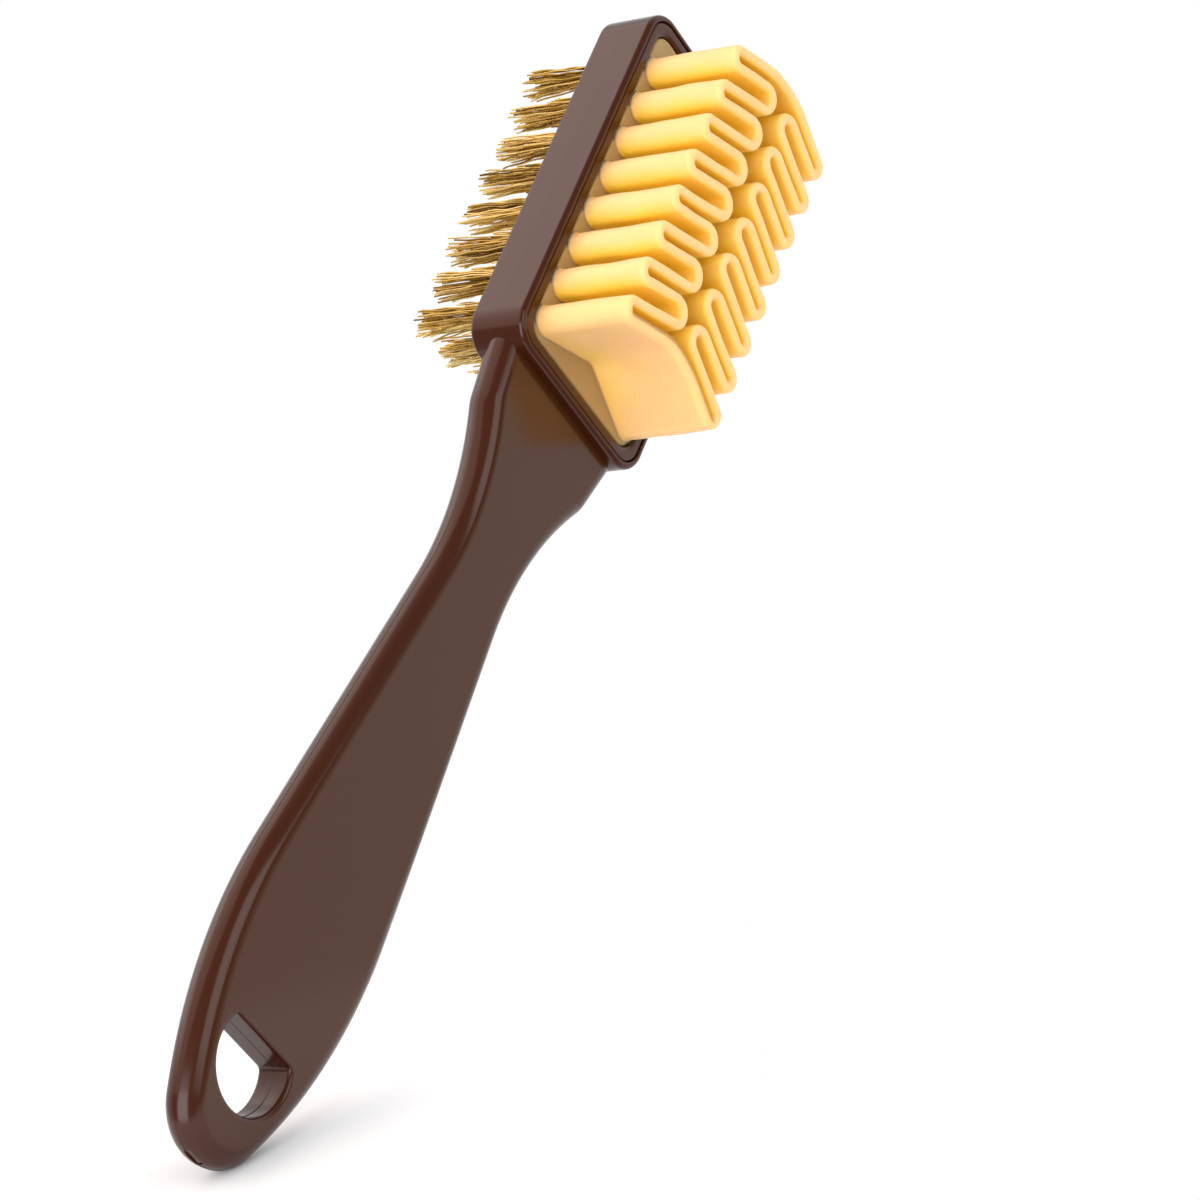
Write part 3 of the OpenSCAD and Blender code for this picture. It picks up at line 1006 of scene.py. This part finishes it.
# What is drawn for each wire. The powers leave most wires long and nearly upright
wire_facts = {
    "foot_angle": drawn(0.0, FULL_TURN, 1),
    "foot_radius": times(tuft.math("SQRT", drawn(0.0, 1.0, 2)), given["Bundle radius"]),
    "reach": tuft.math("SUBTRACT", 1.0, times(tuft.math("POWER", drawn(0.0, 1.0, 3), 1.5), SHORTENING)),
    "lean_angle": drawn(0.0, FULL_TURN, 4),
    "lean": times(tuft.math("POWER", drawn(0.0, 1.0, 5), 3.0), FURTHEST_LEAN * MM),
    "phase": drawn(0.0, FULL_TURN, 6),
    "tone": drawn(0.0, 1.0, 7),
    "fan": drawn(1 - FAN_RANGE, 1 + FAN_RANGE, 8),
}
stream = copies.outputs["Geometry"]
for name, value in wire_facts.items():
    stream = tuft.add(
        "GeometryNodeStoreNamedAttribute", {"Geometry": stream, "Name": name, "Value": value},
        data_type="FLOAT", domain="POINT",
    ).outputs["Geometry"]
end = tuft.add("ShaderNodeCombineXYZ", {"Z": times(given["Length"], -1.0)})
line = tuft.add("GeometryNodeCurvePrimitiveLine", {"End": end.outputs[0]})
steps = tuft.add("GeometryNodeResampleCurve", {"Curve": line.outputs[0], "Count": 16})
strewn = tuft.add("GeometryNodeInstanceOnPoints", {"Points": stream, "Instance": steps.outputs[0]})
real = tuft.add("GeometryNodeRealizeInstances", {"Geometry": strewn.outputs[0]})


def fact(name):
    """What was drawn for the wire that is being bent."""
    return tuft.add("GeometryNodeInputNamedAttribute", {"Name": name}, data_type="FLOAT").outputs[0]


along = tuft.add("GeometryNodeSplineParameter").outputs["Factor"]
down = times(along, given["Length"])
fan = plus(1.0, times(times(along, fact("fan")), given["Spread"]))
foot = times(fact("foot_radius"), fan)
waves = plus(fact("phase"), tuft.math("DIVIDE", times(down, FULL_TURN), given["Crimp length"]))
across = plus(
    times(fact("lean"), tuft.math("POWER", along, 1.6)), times(tuft.math("SINE", waves), given["Crimp"])
)


def sideways(turn):
    """The wire's shift along one axis, which COSINE or SINE picks."""
    foot_part = times(foot, tuft.math(turn, fact("foot_angle")))
    return plus(foot_part, times(across, tuft.math(turn, fact("lean_angle"))))


lift = times(down, tuft.math("SUBTRACT", 1.0, fact("reach")))
offset = tuft.add("ShaderNodeCombineXYZ", {"X": sideways("COSINE"), "Y": sideways("SINE"), "Z": lift})
bent = tuft.add("GeometryNodeSetPosition", {"Geometry": real.outputs[0], "Offset": offset.outputs[0]})
section = tuft.add("GeometryNodeCurvePrimitiveCircle", {"Resolution": 5, "Radius": given["Wire radius"]})
wires = tuft.add("GeometryNodeCurveToMesh", {
    "Curve": bent.outputs[0], "Profile Curve": section.outputs[0], "Fill Caps": True,
})
smooth = tuft.add("GeometryNodeSetShadeSmooth", {"Geometry": wires.outputs[0]})
realized = tuft.add("GeometryNodeRealizeInstances", {"Geometry": smooth.outputs[0]})
painted = tuft.add(
    "GeometryNodeSetMaterial", {"Geometry": realized.outputs[0], "Material": given["Material"]}
)
tuft.add("NodeGroupOutput", {"Geometry": painted.outputs[0]})


def brass_wire():
    """Drawn brass, from tarnished to bright from wire to wire."""
    material, tree, shader = paint("brass")
    shader.inputs["Metallic"].default_value = 1.0
    shader.inputs["Roughness"].default_value = 0.26
    wire_tone = tree.add("ShaderNodeAttribute", attribute_name="tone").outputs["Fac"]
    tree.feed(shader.inputs["Base Color"], ramp(tree, wire_tone, [
        (0.0, (0.17, 0.09, 0.015)), (0.4, (0.66, 0.44, 0.10)), (1.0, (1.0, 0.77, 0.33)),
    ]))
    return material


brass = brass_wire()
tuft_inputs = {
    item.name: item.identifier for item in tuft_tree.interface.items_tree
    if item.item_type == "SOCKET" and item.in_out == "INPUT"
}
for number, (column, spots) in enumerate(tuft_columns.items()):
    wires_piece = new_object(
        f"brass_wires_{column}", [(x, y, WIRE_ROOT - BOARD_DEPTH) for x, y in spots], []
    )
    grow = wires_piece.modifiers.new("wire_tufts", "NODES")
    grow.node_group = tuft_tree
    grow[tuft_inputs["Seed"]] = number + 1
    grow[tuft_inputs["Material"]] = brass
    baked(wires_piece)
    if column == "middle":
        standing_for = [f"tuft_middle{r + 1}" for r in range(len(spots))]
    else:
        standing_for = [f"tuft_r{r + 1}{column}" for r in range(len(spots))]
    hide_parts(*standing_for)
    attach(wires_piece, "root")


# Tuft anchors
# Flat strips of plain steel at the bottoms of the holes, one to each tuft. The
# tufts are folded over them, so they stay out of sight.
def anchor_steel():
    """Plain grey steel strip, a little uneven in tone."""
    material, tree, shader = paint("anchor_steel")
    shader.inputs["Metallic"].default_value = 1.0
    shader.inputs["Roughness"].default_value = 0.4
    tone = ramp(tree, grain(tree, scale=900), [
        (0.3, (0.42, 0.42, 0.43)), (0.7, (0.56, 0.56, 0.57)),
    ])
    tree.feed(shader.inputs["Base Color"], tone)
    return material


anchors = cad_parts["tuft_anchors"]
anchors.data.materials.clear()
anchors.data.materials.append(anchor_steel())


# Floor
# A white floor that touches the handle's tip, tilted so that it takes the brush's soft shadow,
# with painted shade round the tip. It is clear from below, so that it hides the brush in no view.
FLOOR_PITCH = math.radians(12)
FLOOR_ROLL = math.radians(-13)
FLOOR_REACH = 0.075
GLOW_REACH, GLOW_LEVEL = 0.035, 0.21
floor_normal = (
    (photo_up * math.cos(FLOOR_ROLL) + photo_right * math.sin(FLOOR_ROLL)) * math.cos(FLOOR_PITCH)
    - sight * math.sin(FLOOR_PITCH)
).normalized()
lowest = min(moulding.data.vertices, key=lambda v: (moulding.matrix_world @ v.co).dot(floor_normal))
floor_touch = moulding.matrix_world @ lowest.co
floor_x = (photo_right - floor_normal * photo_right.dot(floor_normal)).normalized()
floor_y = floor_normal.cross(floor_x)
floor_mesh = bpy.data.meshes.new("floor")
floor_mesh.from_pydata(
    [floor_touch + floor_x * a * FLOOR_REACH + floor_y * b * FLOOR_REACH
     for a, b in ((-1, -1), (1, -1), (1, 1), (-1, 1))],
    [], [(0, 1, 2, 3)],
)
floor = bpy.data.objects.new("floor", floor_mesh)
bpy.context.scene.collection.objects.link(floor)


def white_floor():
    """Matt white that grows to the backdrop's white for the camera, away from where the tip stands:
    painted light over the shadow further off, and darker painted shade round the tip.
    """
    material = bpy.data.materials.new("white_floor")
    material.use_nodes = True
    material.node_tree.nodes.clear()
    tree = Nodes(material.node_tree)
    place = tree.add("ShaderNodeTexCoord").outputs["Object"]
    away = tree.add("ShaderNodeVectorMath", {0: place, 1: floor_touch}, operation="DISTANCE")
    # Painted light and shade: the glow that lightens the shadow fades out towards the tip, so the shade
    # round it stays darker.
    fade = tree.span(away.outputs["Value"], start=0.0, end=GLOW_REACH, low=0.0, high=GLOW_LEVEL)
    rays = tree.add("ShaderNodeLightPath").outputs
    shown = tree.math("MAXIMUM", rays["Is Camera Ray"], rays["Is Glossy Ray"])
    glow = tree.add("ShaderNodeEmission", {"Strength": tree.math("MULTIPLY", shown, fade)})
    matte = tree.add("ShaderNodeBsdfDiffuse", {"Color": (0.745, 0.757, 0.77, 1)})
    both = tree.add("ShaderNodeAddShader", {0: matte.outputs[0], 1: glow.outputs[0]})
    clear = tree.add("ShaderNodeBsdfTransparent")
    below = tree.add("ShaderNodeNewGeometry").outputs["Backfacing"]
    one_sided = tree.add("ShaderNodeMixShader", {0: below, 1: both.outputs[0], 2: clear.outputs[0]})
    tree.add("ShaderNodeOutputMaterial", {"Surface": one_sided.outputs[0]})
    return material


floor_mesh.materials.append(white_floor())

bpy.context.scene.view_settings.view_transform = "Standard"
